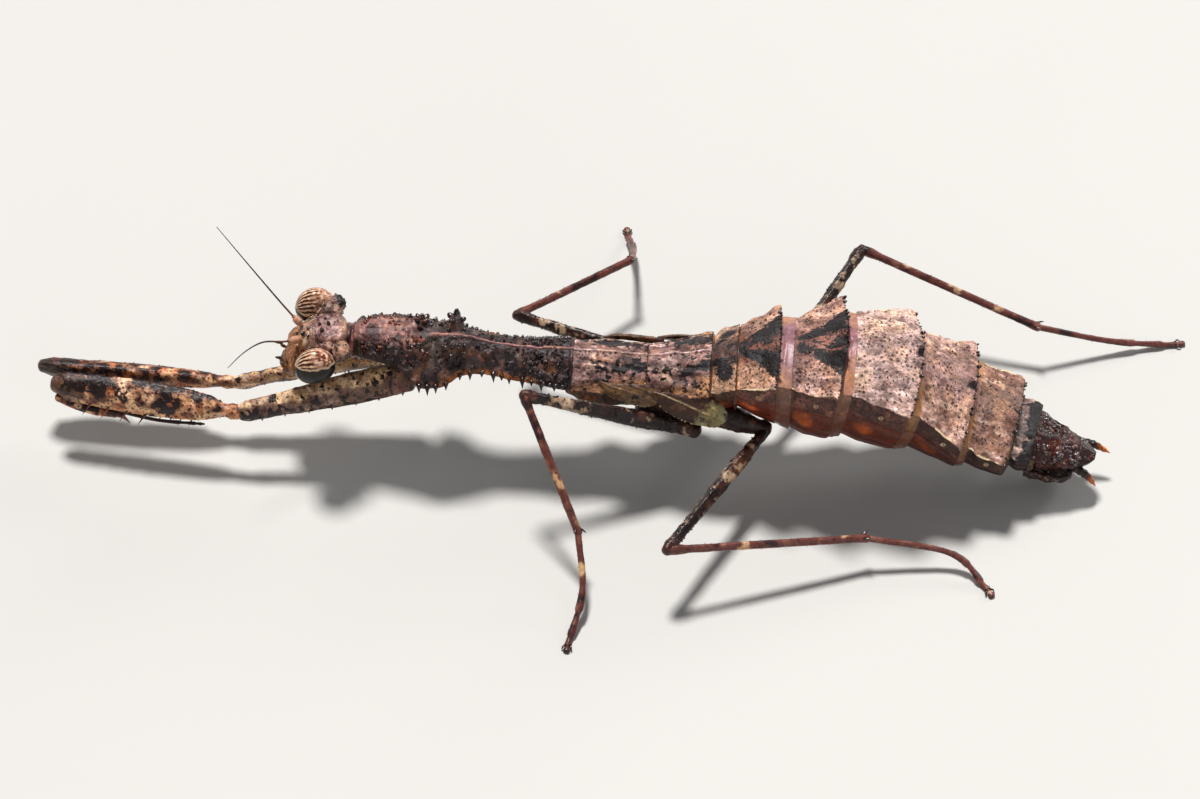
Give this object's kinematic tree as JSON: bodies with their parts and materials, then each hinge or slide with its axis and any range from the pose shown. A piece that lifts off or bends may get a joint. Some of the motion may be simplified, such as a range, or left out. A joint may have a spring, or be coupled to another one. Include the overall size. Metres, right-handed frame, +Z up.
{
  "type": "praying mantis",
  "caption": "Still life-size praying mantis with rough bark-coloured body, standing on its four walking legs, grasping legs stretched forward.",
  "frame": {"origin": "on the floor, under the middle of the outline box", "axes": "+Z up; -X the way the head points, +X the way the tail points; -Y the animal's left side"},
  "size_m": [0.07, 0.034, 0.0142],
  "materials": {
    "bark": "rough mottled shell, mauve-brown",
    "soot": "dark, finely pitted shell with pale bands",
    "peach": "waxy peach shell with dark blotches",
    "eye": "smooth, polished, banded",
    "lacquer": "wet-looking, lumpy, dark red-brown"
  },
  "bodies": {
    "root": {"neck": "bark", "prothorax": "soot", "mesothorax": "soot", "metathorax": "soot", "abdomen_1": "soot", "abdomen_2": "bark", "abdomen_3": "bark", "abdomen_4": "bark", "abdomen_5": "bark", "abdomen_6": "bark", "abdomen_7": "bark", "tail_plate": "lacquer", "genital_plate": "lacquer", "cercus_left": "soot", "cercus_right": "soot", "fore_wing_pad_left": "bark", "hind_wing_pad_left": "bark", "fore_wing_pad_right": "bark", "hind_wing_pad_right": "bark", "eye_left": "eye", "eye_right": "eye", "head": "bark", "mouthparts": "peach", "antenna_left": "peach", "antenna_right": "peach", "coxa_fore_left": "peach", "femur_fore_left": "peach", "tibia_fore_left": "peach", "tarsus_fore_left": "soot", "coxa_fore_right": "peach", "femur_fore_right": "peach", "tibia_fore_right": "peach", "tarsus_fore_right": "soot", "coxa_mid_left": "soot", "femur_mid_left": "soot", "tibia_mid_left": "bark", "tarsus_mid_left": "soot", "coxa_mid_right": "soot", "femur_mid_right": "soot", "tibia_mid_right": "bark", "tarsus_mid_right": "soot", "coxa_hind_left": "soot", "femur_hind_left": "soot", "tibia_hind_left": "bark", "tarsus_hind_left": "soot", "coxa_hind_right": "soot", "femur_hind_right": "soot", "tibia_hind_right": "bark", "tarsus_hind_right": "soot"}
  },
  "joints": []
}
